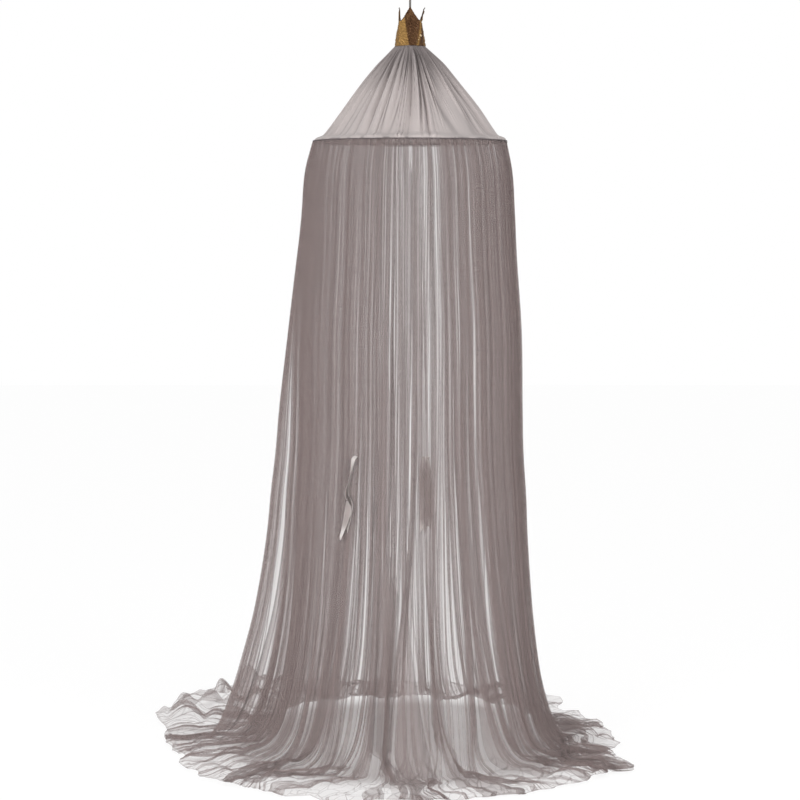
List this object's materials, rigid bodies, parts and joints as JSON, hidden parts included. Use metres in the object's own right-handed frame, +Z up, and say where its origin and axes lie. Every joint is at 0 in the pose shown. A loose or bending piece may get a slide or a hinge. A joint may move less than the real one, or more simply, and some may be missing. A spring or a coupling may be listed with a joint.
{
  "type": "bed crown canopy",
  "caption": "Sheer net bed canopy gathered on a hoop under a lined cloth cone with a gold crown, hung by a cord from a ceiling hook, its train on the floor.",
  "frame": {"origin": "middle of the ceiling plate's flat top face, where it meets the ceiling", "axes": "+Z up, out of the top face and into the ceiling; the front opening faces -Y, and +X is to the right of someone who looks at the front"},
  "size_m": [1.501, 1.6629, 2.4397],
  "materials": {
    "plate_enamel": "satin",
    "steel": "satin",
    "cord": "matte",
    "crown_gold": "gloss",
    "crown_backing": "matte",
    "cone_cloth": "matte",
    "lining_cloth": "matte",
    "hoop_rod": "satin",
    "hoop_sleeve": "matte",
    "piping": "matte",
    "net": "matte",
    "satin": "satin"
  },
  "bodies": {
    "ceiling_fitting": {"ceiling_plate": "plate_enamel", "ceiling_screw_left": "steel", "ceiling_screw_right": "steel", "ceiling_hook": "steel"},
    "ring": {"hanging_ring": "steel"},
    "cord": {"cord_loop": "cord", "cord_knot": "cord", "hanging_cord": "cord"},
    "canopy": {"cord_stopper": "cord", "gather_binding": "cord", "crown_shell": "crown_gold", "crown_lining": "crown_backing", "crown_seam_strip": "crown_gold", "cone_cover": "cone_cloth", "cone_lining": "lining_cloth", "hoop_rod_1": "hoop_rod", "hoop_rod_2": "hoop_rod", "hoop_rod_3": "hoop_rod", "hoop_rod_4": "hoop_rod", "hoop_sleeve_1": "hoop_sleeve", "hoop_sleeve_2": "hoop_sleeve", "hoop_sleeve_3": "hoop_sleeve", "hoop_sleeve_4": "hoop_sleeve", "hoop_casing": "cone_cloth", "seam_piping": "piping", "net_heading_tape": "net", "net_back": "net"},
    "left_leaf": {"net_front_left": "net", "tie_ribbon_left": "satin"},
    "right_leaf": {"net_front_right": "net", "tie_ribbon_right": "satin"}
  },
  "joints": [
    {"name": "ring_swing", "type": "hinge", "parent": "ceiling_fitting", "child": "ring", "pos_m": [0, 0, -0.035], "axis": [1, 0, 0], "range_deg": [-2, 2]},
    {"name": "loop_swing", "type": "hinge", "parent": "ring", "child": "cord", "pos_m": [0, 0, -0.0552], "axis": [0, 1, 0], "range_deg": [-2, 2]},
    {"name": "canopy_turn", "type": "hinge", "parent": "cord", "child": "canopy", "pos_m": [0, 0, -0.188], "axis": [0, 0, 1], "range_deg": [-180, 180]},
    {"name": "left_leaf_draw", "type": "hinge", "parent": "canopy", "child": "left_leaf", "pos_m": [0, 0, -0.55], "axis": [0, 0, -1], "range_deg": [0, 30]},
    {"name": "right_leaf_draw", "type": "hinge", "parent": "canopy", "child": "right_leaf", "pos_m": [0, 0, -0.55], "axis": [0, 0, 1], "range_deg": [0, 30]}
  ]
}
